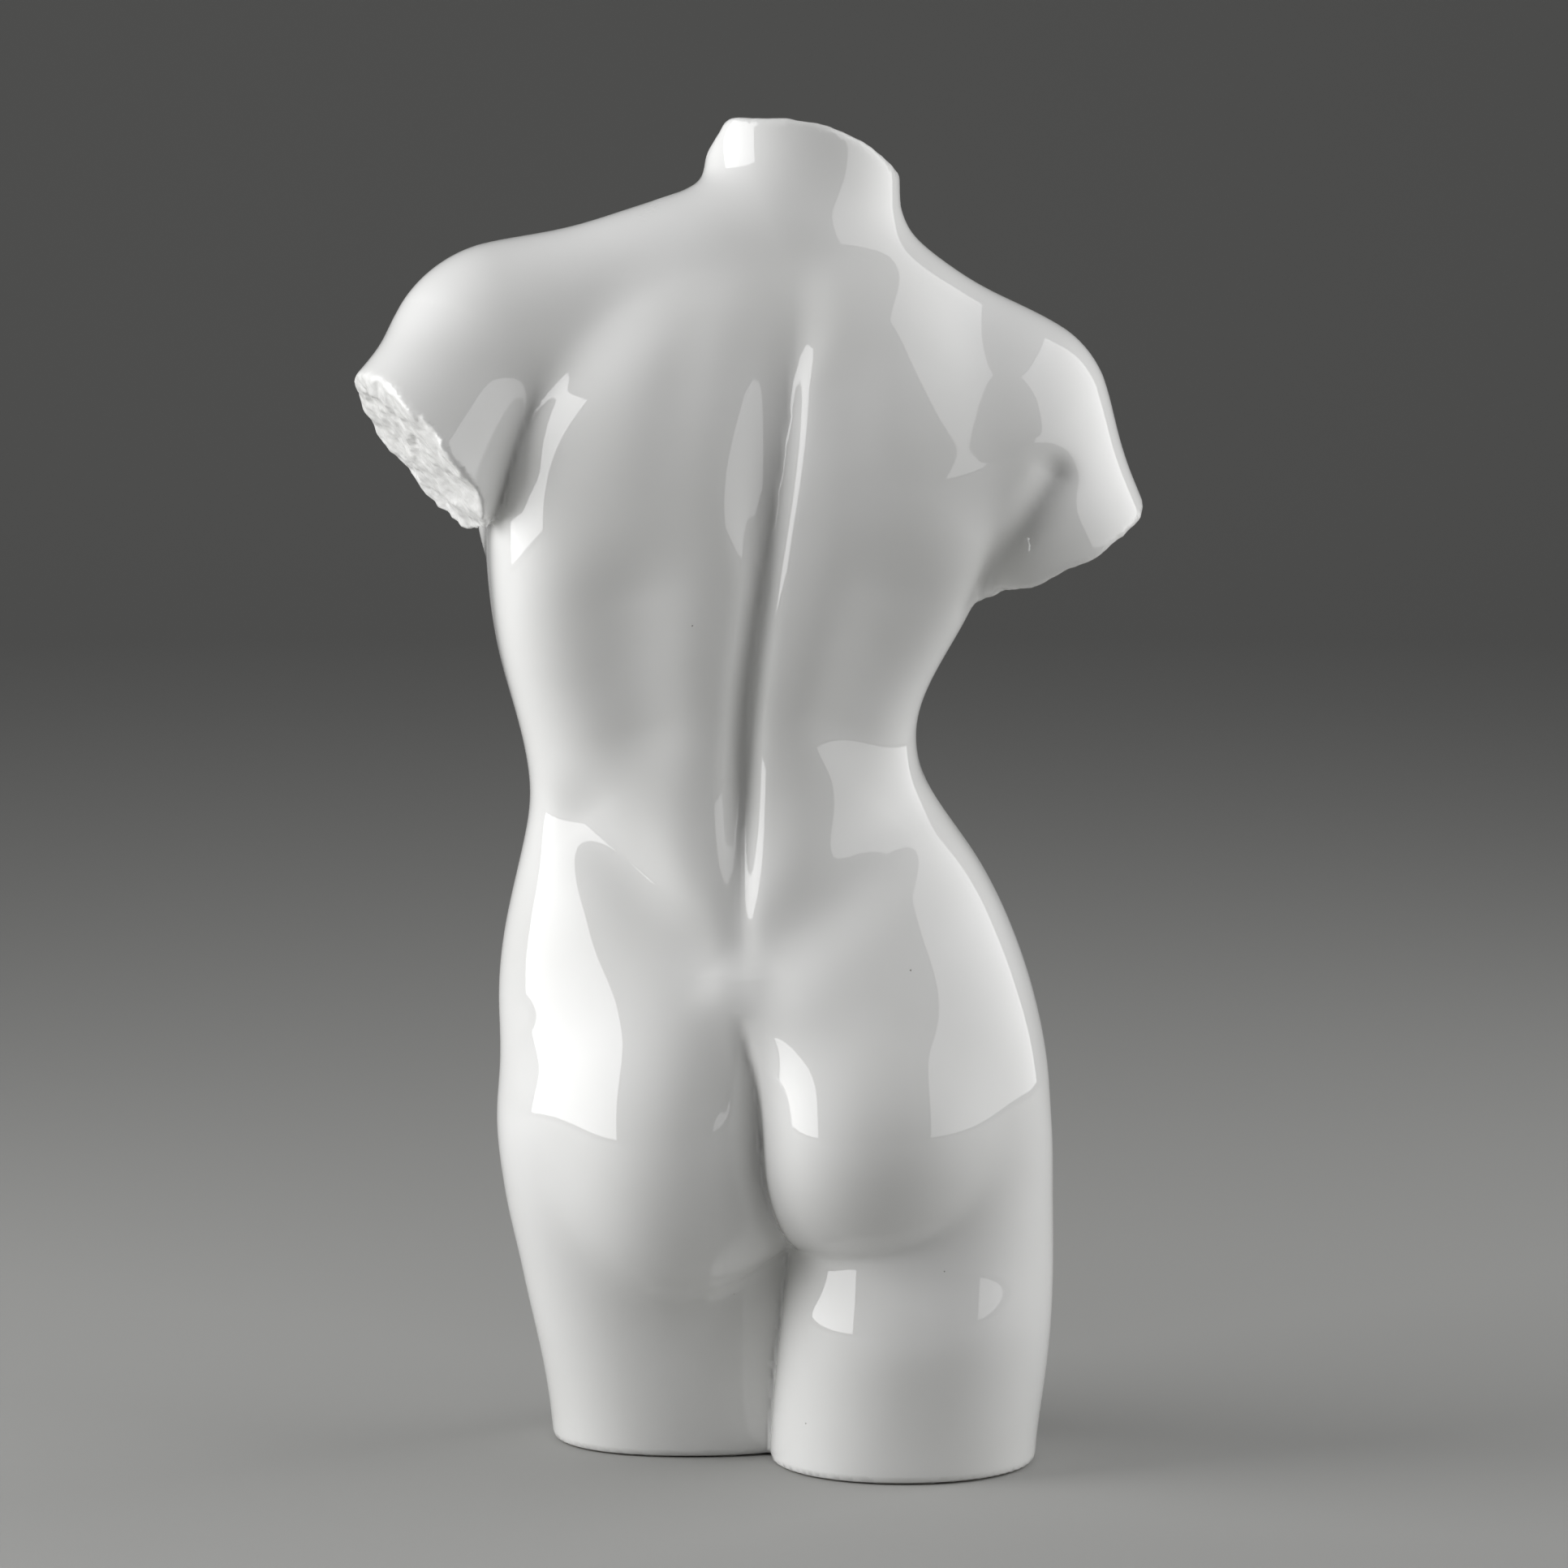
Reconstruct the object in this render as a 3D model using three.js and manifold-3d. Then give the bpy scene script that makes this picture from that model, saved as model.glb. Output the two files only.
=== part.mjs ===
import * as THREE from "three";
import Module from "manifold-3d";

// Female torso in glazed ceramic, broken at the neck and at both upper arms and cut flat through
// the thighs. Millimetres, +Z up. The figure's back is towards +Y and its left side towards +X.
// The flat base lies on Z = 0, with the origin at the middle of the figure's stance.

// Driving dimensions, in millimetres
const height = 300; // from the flat base to the top of the broken neck
const facetSize = 6.2; // side of a facet on the open surface
const grooveFacet = 2.6; // width of the facets along the spine groove and the cleft
const breakRelief = 1.5; // how far the roughest broken face stands in and out

// Proportions, in thousandths of the height. The floor lies a little below zero.
const floor = -12;
const belowFloor = -40; // the legs run on to here before the base is cut
const crown = 1007;
const share = height / (crown - floor);

// Stations of the trunk at equal steps of height
const trunk = {
  from: 100,
  to: 950,
  left: [205, 207, 209, 216, 228, 229, 221, 208, 199, 209, 224, 231, 233, 230, 214, 168, 112, 66],
  right: [188, 191, 194, 195, 193, 182, 163, 138, 97, 86, 109, 138, 155, 158, 150, 128, 92, 64],
  back: [-10, 48, 86, 104, 114, 112, 97, 83, 76, 85, 99, 111, 119, 122, 118, 106, 84, 55],
  front: [-100, -112, -120, -127, -134, -140, -143, -140, -134, -128, -124, -122, -119, -114,
    -106, -97, -84, -78],
  turn: [14, 14, 14, 14, 14, 13, 9, 4, -1, -4, -6, -6, -6, -6, -5, -4, -3, -2],
  slope: [-0.15, -0.15, -0.15, -0.15, -0.15, -0.15, -0.14, -0.12, -0.08, -0.03, 0.02, 0.06, 0.1,
    0.13, 0.155, 0.155, 0.15, 0.15],
  squareness: [2.1, 2.1, 2.1, 2.15, 2.25, 2.3, 2.4, 2.4, 2.45, 2.6, 3, 3.4, 3.6, 3.6, 3.2, 2.7, 2.3, 2],
  spine: [12, 2, 29, 33, 38, 44, 43, 42, 40, 38, 33, 26, 19, 11, 5, 2, 0, 0],
};

// Stations of the thighs at equal steps of height. The weight is on the right leg.
const thighs = {
  from: -50,
  to: 350,
  left: {
    x: [79, 80, 85, 92, 98, 105, 109, 109, 106],
    y: [-102, -98, -90, -78, -60, -44, -36, -30, -28],
    wide: [107, 108, 110, 114, 117, 118, 119, 114, 103],
    deep: [96, 98, 102, 106, 109, 112, 114, 110, 100],
    squareness: 2.3,
  },
  right: {
    x: [-80, -81, -87, -92, -95, -96, -96, -94, -92],
    y: [-4, -4, -3, 2, -4, 0, 4, 5, 5],
    wide: [101, 101, 103, 103, 101, 99, 98, 94, 88],
    deep: [106, 107, 110, 115, 107, 110, 113, 112, 104],
    squareness: 2.1,
  },
};

// Upper arms as tapered limbs from the shoulder to a point past the break
const arms = {
  left: { from: [234, 38, 826], to: [317, 102, 709], fromRadius: 64, toRadius: 79 },
  right: { from: [-150, -8, 768], to: [-232, -30, 618], fromRadius: 84, toRadius: 66 },
};

// Broken faces: a point on each, the way it faces, and its share of the relief
const breaks = {
  neckTop: { at: [0, -18, crown - 13], facing: [-0.13, -0.2, 1], relief: 0.35 },
  neckChip: { at: [-51, -18, crown - 27], facing: [-0.5, -0.16, 0.9], relief: 0.35 },
  neckCorner: { at: [60, -18, crown - 17], facing: [0.75, -0.1, 0.6], relief: 0.3 },
  leftArm: { at: [280, 78, 762], facing: [0.75, 0.3, -0.59], relief: 0.7 },
  rightArm: { at: [-202, -34, 685], facing: [-0.45, -0.16, -0.88], relief: 0.6 },
};

// Value of a smooth curve through evenly spaced stations, with t from 0 to 1
function curve(values, t) {
  const last = values.length - 1;
  const s = Math.min(Math.max(t, 0), 1) * last;
  const i = Math.min(Math.floor(s), last - 1);
  const f = s - i;
  const before = i > 0 ? values[i - 1] : 2 * values[0] - values[1];
  const after = i < last - 1 ? values[i + 2] : 2 * values[last] - values[last - 1];
  const g = 1 - f;
  const nearWeight = 3 * f ** 3 - 6 * f ** 2 + 4;
  const farWeight = 3 * g ** 3 - 6 * g ** 2 + 4;
  return (g ** 3 * before + nearWeight * values[i] + farWeight * values[i + 1] + f ** 3 * after) / 6;
}

// Eases from 0 at a to 1 at b
function ease(a, b, x) {
  const t = Math.min(Math.max((x - a) / (b - a), 0), 1);
  return t ** 3 * (t * (6 * t - 15) + 10);
}

// Shapes are signed distances, negative inside. Two shapes melt together over a width k.
function join(a, b, k) {
  const overlap = Math.max(k - Math.abs(a - b), 0) / k;
  return Math.min(a, b) - (overlap ** 3 * k) / 6;
}

function keep(a, b, k) {
  return -join(-a, -b, k);
}

function ellipsoid([x, y, z], centre, radii, roll = 0) {
  const dx = x - centre[0];
  const dz = z - centre[2];
  const q = [
    Math.cos(roll) * dx + Math.sin(roll) * dz,
    y - centre[1],
    Math.cos(roll) * dz - Math.sin(roll) * dx,
  ];
  const near = Math.hypot(q[0] / radii[0], q[1] / radii[1], q[2] / radii[2]);
  const slope = Math.hypot(q[0] / radii[0] ** 2, q[1] / radii[1] ** 2, q[2] / radii[2] ** 2);
  return (near * (near - 1)) / Math.max(slope, 1e-9);
}

function limb([x, y, z], from, to, fromRadius, toRadius) {
  const along = new THREE.Vector3(...to).sub(new THREE.Vector3(...from));
  const q = new THREE.Vector3(x, y, z).sub(new THREE.Vector3(...from));
  const t = Math.min(Math.max(q.dot(along) / along.lengthSq(), 0), 1);
  return q.addScaledVector(along, -t).length() - (fromRadius + (toRadius - fromRadius) * t);
}

// An oval section, squarer as its power rises above 2
function oval(x, y, a, b, power) {
  const u = Math.abs(x) / a;
  const v = Math.abs(y) / b;
  const r = Math.max((u ** power + v ** power) ** (1 / power), 0.25);
  const slope = r ** (1 - power) * Math.hypot(u ** (power - 1) / a, v ** (power - 1) / b);
  return (r - 1) / Math.max(slope, 0.4 / Math.max(a, b));
}

function swell(x, z, centreX, centreZ, wide, tall, lean = 0) {
  const dx = x - centreX;
  const dz = z - centreZ;
  const across = Math.cos(lean) * dx + Math.sin(lean) * dz;
  const upward = Math.cos(lean) * dz - Math.sin(lean) * dx;
  return Math.exp(-((across / wide) ** 2) - (upward / tall) ** 2);
}

// A valley along a line of points in the plane of x and z
function valley(x, z, points, wide) {
  let nearest = Infinity;
  for (let i = 0; i + 1 < points.length; i++) {
    const dx = points[i + 1][0] - points[i][0];
    const dz = points[i + 1][1] - points[i][1];
    const along = ((x - points[i][0]) * dx + (z - points[i][1]) * dz) / (dx * dx + dz * dz);
    const t = Math.min(Math.max(along, 0), 1);
    nearest = Math.min(nearest, Math.hypot(x - points[i][0] - t * dx, z - points[i][1] - t * dz));
  }
  return Math.exp(-((nearest / wide) ** 2));
}

function lumps(point, size) {
  const [x, y, z] = point.map((value) => value / size);
  const bentX = x * 1.7 + Math.sin(y * 1.3 + 0.7) * 1.4;
  const bentZ = z * 1.9 + Math.sin(x * 1.1) * 1.2 + 1.3;
  const bentY = y * 2.3 + Math.sin(z * 1.7 + 2.1) * 1.3 + 0.4;
  const coarse = Math.sin(bentX) * Math.sin(bentZ);
  const middle = Math.sin(bentY) * Math.sin(x * 2.6 + z * 0.9 + 0.9);
  const fine = Math.sin(x * 4.1 + z * 3.3 + 1.1) * Math.sin(y * 4.7 - z * 2.9 + 0.5);
  return 0.5 * coarse + 0.32 * middle + 0.18 * fine;
}

// Outward distance past a broken face
function past(point, face, lumpSize) {
  const facing = new THREE.Vector3(...face.facing).normalize();
  const offset = new THREE.Vector3(...point).sub(new THREE.Vector3(...face.at));
  return facing.dot(offset) + lumps(point, lumpSize) * face.relief * (breakRelief / share);
}

function thigh([x, y, z], side) {
  const t = (z - thighs.from) / (thighs.to - thighs.from);
  const dx = x - curve(side.x, t);
  const dy = y - curve(side.y, t);
  return keep(oval(dx, dy, curve(side.wide, t), curve(side.deep, t), side.squareness), z - 300, 90);
}

function arm(point, side) {
  return limb(point, side.from, side.to, side.fromRadius, side.toRadius);
}

function leftArm(point) {
  const shoulder = ellipsoid(point, [212, 16, 823], [92, 66, 83]);
  return keep(join(arm(point, arms.left), shoulder, 40), past(point, breaks.leftArm, 22), 8);
}

function rightArm(point) {
  return keep(arm(point, arms.right), past(point, breaks.rightArm, 22), 10);
}

// Where a point lies in the trunk: across from the middle, backward, up along the tilt of
// shoulders and hips, and across from the spine
function trunkPlace([x, y, z]) {
  const t = (z - trunk.from) / (trunk.to - trunk.from);
  const left = curve(trunk.left, t);
  const right = curve(trunk.right, t);
  const back = curve(trunk.back, t);
  const front = curve(trunk.front, t);
  const turn = THREE.MathUtils.degToRad(curve(trunk.turn, t));
  const middle = (left - right) / 2;
  const deep = (back - front) / 2;
  const dx = x - middle;
  const dy = y - (back + front) / 2;
  const across = dx * Math.cos(turn) - dy * Math.sin(turn);
  const backward = dx * Math.sin(turn) + dy * Math.cos(turn);
  return {
    across,
    backward,
    upward: z - across * curve(trunk.slope, t),
    fromSpine: across - (curve(trunk.spine, t) - middle - deep * Math.sin(turn)) / Math.cos(turn),
    wide: (left + right) / 2,
    deep,
    squareness: curve(trunk.squareness, t),
  };
}

function backCarving({ across, upward, fromSpine }, z) {
  const grooveDepth = curve([0, 2, 10, 18, 22, 22, 21, 20, 20, 19, 16, 9, 2], (z - 330) / 600);
  const ridgeHeight = curve([0, 2, 5, 5, 4, 3, 3, 3, 3, 2, 1, 0], (z - 330) / 560);
  // The groove's left bank widens between the shoulder blades, and its right one near the neck
  const leftBank = 13 + 30 * ease(640, 800, z);
  const rightBank = 11 + 12 * ease(800, 880, z);
  const bank = rightBank + (leftBank - rightBank) * ease(-4, 8, fromSpine);
  const groove = 0.72 * Math.exp(-((fromSpine / bank) ** 2)) + 0.28 * Math.exp(-((fromSpine / 30) ** 2));
  let depth = grooveDepth * groove;
  for (const side of [-1, 1]) {
    const out = fromSpine * side;
    depth -= ridgeHeight * Math.exp(-(((out - 40) / 34) ** 2));
    depth -= 6 * swell(across * side, upward, 98, 775, 56, 90, -0.2); // shoulder blade
    depth += 3 * swell(across * side, upward, 66, 800, 22, 70, 0.1);
    depth += 8 * valley(out, z, [[98, 650], [88, 600], [74, 560]], 36); // edge of the ribs
    depth += 10 * valley(out, z, [[22, 382], [70, 430], [118, 480]], 30); // above the hip bone
  }
  return depth - 7 * swell(fromSpine, z, 8, 364, 24, 26); // foot of the spine
}

function frontCarving({ across, upward }, z) {
  let depth = 5 * Math.exp(-((across / 9) ** 2)) * ease(400, 470, z) * (1 - ease(640, 700, z));
  for (const side of [-1, 1]) {
    depth += 5 * valley(across * side, upward, [[10, 235], [80, 290], [150, 395]], 16); // groin
  }
  return depth + 16 * swell(across, upward, 0, 452, 9, 11); // navel
}

function neck(point) {
  const [x, y, z] = point;
  const spread = Math.max(0, 940 - z) * 0.12;
  let shape = keep(oval(x + 5, y + 18 + (z - 940) * 0.12, 73 + spread, 66, 2), 860 - z, 40);
  for (const face of [breaks.neckTop, breaks.neckChip, breaks.neckCorner]) {
    shape = keep(shape, past(point, face, 26), 9);
  }
  return shape;
}

function torso(point) {
  const [x, y, z] = point;
  const place = trunkPlace(point);
  const rear = ease(-30, 40, place.backward);
  const fore = 1 - ease(-40, 30, place.backward);

  const section = oval(place.across, place.backward, place.wide, place.deep, place.squareness);
  let body = keep(section, z - 905, 70);
  body += rear * backCarving(place, z) + fore * frontCarving(place, z);
  for (const side of [-1, 1]) {
    const spot = [place.across * side, place.backward, place.upward];
    body = join(body, ellipsoid(spot, [116, -88, 702], [81, 66, 78]), 34); // breast
  }

  const leftShoulder = limb(point, [20, 8, 916], [210, 20, 846], 54, 62);
  const rightShoulder = limb(point, [-8, 4, 897], [-163, -18, 792], 54, 61);
  body = join(body, join(leftShoulder, rightShoulder, 30), 50);
  body = join(body, neck(point), 36);

  // The arms melt into the shoulders above and meet the back in a fold below
  body = join(body, leftArm(point), 10 + 40 * ease(770, 850, z));
  body = join(body, rightArm(point), 16 + 40 * ease(660, 760, z));
  body += 9 * valley(x, z, [[-140, 640], [-162, 690], [-190, 742]], 13) * ease(0, 50, y);

  const rightSeat = ellipsoid(point, [-59, 34, 251], [103, 124, 105], 0.22);
  const leftSeat = ellipsoid(point, [89, 8, 240], [102, 112, 126]);
  let hips = join(keep(body, 165 - z, 60), join(rightSeat, leftSeat, 6), 60);
  const cleftDepth = curve([0, 4, 12, 15, 13, 5, 0], (z - 130) / 215);
  const hollowDepth = curve([0, 2, 8, 13, 15, 14, 7, 0], (z - 140) / 230);
  const cleft = cleftDepth * Math.exp(-((place.fromSpine / 6.5) ** 2));
  const hollow = hollowDepth * Math.exp(-((place.fromSpine / 32) ** 2));
  hips += ease(0, 60, y) * (cleft + hollow);

  // The fold under the right buttock is crisp. The front and the left side are soft.
  const legs = join(thigh(point, thighs.right), thigh(point, thighs.left), 7);
  const softness = Math.max(1 - ease(-60, 20, y), ease(34, 110, x));
  return keep(join(hips, legs, 9 + 33 * softness), belowFloor - z, 4);
}

const unit = [[1, 0, 0], [0, 1, 0], [0, 0, 1]];

// Steps outward from the spine, narrow beside it and growing to the open size
function acrossSteps(reach) {
  const steps = [0];
  let size = grooveFacet / share;
  while (steps[steps.length - 1] < reach) {
    steps.push(steps[steps.length - 1] + size);
    size = Math.min(size * 1.2, facetSize / share);
  }
  return [...steps.slice(1).reverse().map((step) => -step), ...steps];
}

// Even steps from low to high that pass through a given level
function evenSteps(low, high, through) {
  const size = facetSize / share;
  const steps = [];
  for (let i = Math.floor((low - through) / size) - 1; through + (i - 2) * size < high; i++) {
    steps.push(through + i * size);
  }
  return steps;
}

function gradient(point) {
  const reach = 0.5;
  return [0, 1, 2].map((axis) => {
    const ahead = [...point];
    const behind = [...point];
    ahead[axis] += reach;
    behind[axis] -= reach;
    return (torso(ahead) - torso(behind)) / (2 * reach);
  });
}

// Moves a point straight onto the surface
function settle(point) {
  let place = point;
  for (let round = 0; round < 3; round++) {
    const slope = gradient(place);
    const steep = Math.max(slope[0] ** 2 + slope[1] ** 2 + slope[2] ** 2, 0.05);
    const distance = torso(place);
    place = place.map((value, axis) => value - (slope[axis] * distance) / steep);
  }
  return place;
}

// Where the corners of a lattice face alternate between inside and outside, the nearer outside
// corner is filled, so that the surface never meets itself along an edge
function fillAlternating(values, sizes, index) {
  let filled = true;
  while (filled) {
    filled = false;
    for (let axis = 0; axis < 3; axis++) {
      const u = unit[(axis + 1) % 3];
      const v = unit[(axis + 2) % 3];
      for (let i = 0; i < sizes[0] - 1; i++) {
        for (let j = 0; j < sizes[1] - 1; j++) {
          for (let k = 0; k < sizes[2] - 1; k++) {
            const face = [[0, 0], [1, 0], [1, 1], [0, 1]].map(([su, sv]) =>
              index(...[i, j, k].map((value, a) => value + su * u[a] + sv * v[a])));
            const inside = face.map((corner) => values[corner] < 0);
            if (inside[0] === inside[2] && inside[1] === inside[3] && inside[0] !== inside[1]) {
              const outside = face.filter((corner) => values[corner] >= 0);
              values[values[outside[0]] < values[outside[1]] ? outside[0] : outside[1]] = -1e-3;
              filled = true;
            }
          }
        }
      }
    }
  }
}

// The surface as quads between the lattice cells that it passes through, one vertex in each
function carvedSurface() {
  const across = acrossSteps(400);
  const backward = evenSteps(-250, 210, 0);
  const upward = evenSteps(belowFloor, crown, floor);
  const spineAt = (z) => curve(trunk.spine, (z - trunk.from) / (trunk.to - trunk.from));
  const sizes = [across.length, backward.length, upward.length];
  const index = (i, j, k) => (i * sizes[1] + j) * sizes[2] + k;
  const corner = (i, j, k) => [across[i] + spineAt(upward[k]), backward[j], upward[k]];

  // The lattice's outermost corners count as outside, so that the surface always closes
  const outermost = (cell) => cell.some((value, axis) => value === 0 || value === sizes[axis] - 1);
  const values = new Float64Array(sizes[0] * sizes[1] * sizes[2]);
  for (let i = 0; i < sizes[0]; i++) {
    for (let j = 0; j < sizes[1]; j++) {
      for (let k = 0; k < sizes[2]; k++) {
        const distance = torso(corner(i, j, k));
        values[index(i, j, k)] = outermost([i, j, k]) ? Math.max(distance, 1) : distance;
      }
    }
  }

  fillAlternating(values, sizes, index);

  const vertices = [];
  const vertexOf = new Map();
  const cellVertex = (cell) => {
    const key = index(...cell);
    if (!vertexOf.has(key)) {
      const sum = new THREE.Vector3();
      let crossings = 0;
      for (let axis = 0; axis < 3; axis++) {
        for (let side = 0; side < 4; side++) {
          const start = [...cell];
          start[(axis + 1) % 3] += side & 1;
          start[(axis + 2) % 3] += side >> 1;
          const end = start.map((value, a) => value + unit[axis][a]);
          const a = values[index(...start)];
          const b = values[index(...end)];
          if (a < 0 !== b < 0) {
            const from = new THREE.Vector3(...corner(...start));
            const to = new THREE.Vector3(...corner(...end));
            sum.add(from.lerp(to, a / (a - b)));
            crossings++;
          }
        }
      }
      vertexOf.set(key, vertices.length);
      vertices.push(settle(sum.divideScalar(crossings).toArray()));
    }
    return vertexOf.get(key);
  };

  const triangles = [];
  const middle = (a, b) => vertices[a].map((value, axis) => (value + vertices[b][axis]) / 2);
  const middleGap = (a, b) => Math.abs(torso(middle(a, b)));
  const addQuad = (a, b, c, d) => {
    if (middleGap(a, c) < middleGap(b, d)) {
      triangles.push([a, b, c], [a, c, d]);
    } else {
      triangles.push([b, c, d], [b, d, a]);
    }
  };
  for (let i = 1; i < sizes[0] - 1; i++) {
    for (let j = 1; j < sizes[1] - 1; j++) {
      for (let k = 1; k < sizes[2] - 1; k++) {
        const inside = values[index(i, j, k)] < 0;
        for (let axis = 0; axis < 3; axis++) {
          const [u, v] = [unit[(axis + 1) % 3], unit[(axis + 2) % 3]];
          const beyond = [i, j, k].map((value, a) => value + unit[axis][a]);
          if (inside !== values[index(...beyond)] < 0) {
            const around = [[1, 1], [0, 1], [0, 0], [1, 0]].map(([su, sv]) =>
              cellVertex([i, j, k].map((value, a) => value - su * u[a] - sv * v[a])));
            addQuad(...(inside ? around : around.reverse()));
          }
        }
      }
    }
  }
  return { vertices, triangles };
}

const wasm = await Module();
wasm.setup();

function solid(positions, triangles) {
  return new wasm.Manifold(new wasm.Mesh({
    numProp: 3,
    vertProperties: new Float32Array(positions.flat()),
    triVerts: new Uint32Array(triangles.flat()),
  }));
}

function block(minimum, maximum) {
  const corners = [];
  for (const z of [minimum[2], maximum[2]]) {
    for (const [x, y] of [[minimum[0], minimum[1]], [maximum[0], minimum[1]], [maximum[0], maximum[1]],
      [minimum[0], maximum[1]]]) {
      corners.push([x, y, z]);
    }
  }
  const faces = [[0, 2, 1], [0, 3, 2], [4, 5, 6], [4, 6, 7]];
  for (let side = 0; side < 4; side++) {
    const next = (side + 1) % 4;
    faces.push([side, next, next + 4], [side, next + 4, side + 4]);
  }
  return solid(corners, faces);
}

const surface = carvedSurface();
const scaled = surface.vertices.map(([x, y, z]) => [x * share, y * share, (z - floor) * share]);
const aboveFloor = block([-height, -height, 0], [height, height, 2 * height]);
const standing = solid(scaled, surface.triangles).intersect(aboveFloor).getMesh();

const geometry = new THREE.BufferGeometry();
geometry.setAttribute("position", new THREE.BufferAttribute(new Float32Array(standing.vertProperties), 3));
geometry.setIndex(new THREE.BufferAttribute(new Uint32Array(standing.triVerts), 1));
geometry.computeVertexNormals();

const glaze = new THREE.MeshStandardMaterial({ color: 0xf1f1ef, roughness: 0.08, metalness: 0 });
const figure = new THREE.Mesh(geometry, glaze);
figure.name = "torso";

const part = new THREE.Group();
part.add(figure);

export default part;
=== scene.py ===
# A woman's torso in white glazed ceramic, broken at the neck and at both upper arms and cut flat
# through the thighs. It is seen from its back, which is towards +Y, with its left side at +X.
import math
import time

import bmesh
import bpy
import numpy as np
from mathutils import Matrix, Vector


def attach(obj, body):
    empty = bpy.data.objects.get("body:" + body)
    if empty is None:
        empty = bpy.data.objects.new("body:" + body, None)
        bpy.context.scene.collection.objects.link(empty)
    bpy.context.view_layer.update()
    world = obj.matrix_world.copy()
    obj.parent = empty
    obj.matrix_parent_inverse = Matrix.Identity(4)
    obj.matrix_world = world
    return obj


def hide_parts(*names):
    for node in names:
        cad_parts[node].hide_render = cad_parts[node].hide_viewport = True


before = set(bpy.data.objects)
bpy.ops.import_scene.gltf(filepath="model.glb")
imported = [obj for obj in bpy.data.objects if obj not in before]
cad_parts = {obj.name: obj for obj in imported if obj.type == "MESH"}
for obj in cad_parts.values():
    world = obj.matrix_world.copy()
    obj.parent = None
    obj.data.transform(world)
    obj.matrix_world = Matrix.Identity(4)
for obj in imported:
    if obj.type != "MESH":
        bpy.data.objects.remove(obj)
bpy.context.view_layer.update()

started = time.time()


def report(stage):
    print(f"{stage}: {time.time() - started:.1f} s")


# Proportions are in thousandths of the height, as in the solid model. Carving is positive where
# it sinks in. A pair of numbers for ease is where an effect begins and where it is full.

figure = {
    "height": 0.3,        # metres, base to the top of the neck
    "floor": -12.0,
    "crown": 1007.0,
    "cell": 5.0,          # about 1.5 mm between the mesh's points
    "low": (-300.0, -260.0, -28.0),
    "high": (360.0, 200.0, 1030.0),
    "baseRim": 9.0,       # softness of the edge where the base is cut
}
share = figure["height"] / (figure["crown"] - figure["floor"])  # metres in a thousandth


# value of a smooth curve through evenly spaced stations, with t from 0 to 1
def curve(stations, t):
    last = len(stations) - 1
    s = np.clip(t, 0, 1) * last
    i = np.clip(np.floor(s).astype(int), 0, last - 1)
    f = s - i
    before = 2 * stations[0] - stations[1]
    after = 2 * stations[-1] - stations[-2]
    ends = np.concatenate([[before], stations, [after]])
    nearWeight = 3 * f**3 - 6 * f**2 + 4
    farWeight = 3 * (1 - f)**3 - 6 * (1 - f)**2 + 4
    total = (1 - f)**3 * ends[i] + nearWeight * ends[i + 1] + farWeight * ends[i + 2]
    return (total + f**3 * ends[i + 3]) / 6


def ease(a, b, x):
    t = np.clip((x - a) / (b - a), 0, 1)
    return t**3 * (t * (6 * t - 15) + 10)


# shapes are distances, negative inside, and two of them melt together over a width k
def join(a, b, k):
    overlap = np.maximum(k - np.abs(a - b), 0) / k
    return np.minimum(a, b) - overlap**3 * k / 6


def keep(a, b, k):
    return -join(-a, -b, k)


def ellipsoid(point, centre, radii, roll=0.0):
    dx, dy, dz = (point[i] - centre[i] for i in range(3))
    cosine, sine = math.cos(roll), math.sin(roll)
    dx, dz = cosine * dx + sine * dz, cosine * dz - sine * dx
    near = np.sqrt((dx / radii[0])**2 + (dy / radii[1])**2 + (dz / radii[2])**2)
    slope = np.sqrt((dx / radii[0]**2)**2 + (dy / radii[1]**2)**2 + (dz / radii[2]**2)**2)
    return near * (near - 1) / np.maximum(slope, 1e-9)


def limb(point, start, end, startRadius, endRadius):
    along = np.subtract(end, start).astype(float)
    q = [point[i] - start[i] for i in range(3)]
    t = np.clip((q[0] * along[0] + q[1] * along[1] + q[2] * along[2]) / (along @ along), 0, 1)
    out = [q[i] - t * along[i] for i in range(3)]
    radius = startRadius + (endRadius - startRadius) * t
    return np.sqrt(out[0]**2 + out[1]**2 + out[2]**2) - radius


# an oval section, squarer as its power rises above 2
def oval(x, y, a, b, power):
    u, v = np.abs(x) / a, np.abs(y) / b
    r = np.maximum((u**power + v**power)**(1 / power), 0.25)
    slope = r**(1 - power) * np.sqrt((u**(power - 1) / a)**2 + (v**(power - 1) / b)**2)
    return (r - 1) / np.maximum(slope, 0.4 / np.maximum(a, b))


def swell(x, z, centreX, centreZ, wide, tall, lean=0.0):
    dx, dz = x - centreX, z - centreZ
    across = math.cos(lean) * dx + math.sin(lean) * dz
    upward = math.cos(lean) * dz - math.sin(lean) * dx
    return np.exp(-(across / wide)**2 - (upward / tall)**2)


# a valley along a line of points in the plane of x and z
def valley(x, z, points, wide):
    nearest = np.inf
    for (x0, z0), (x1, z1) in zip(points[:-1], points[1:]):
        dx, dz = x1 - x0, z1 - z0
        t = np.clip(((x - x0) * dx + (z - z0) * dz) / (dx * dx + dz * dz), 0, 1)
        nearest = np.minimum(nearest, np.hypot(x - x0 - t * dx, z - z0 - t * dz))
    return np.exp(-(nearest / wide)**2)


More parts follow.
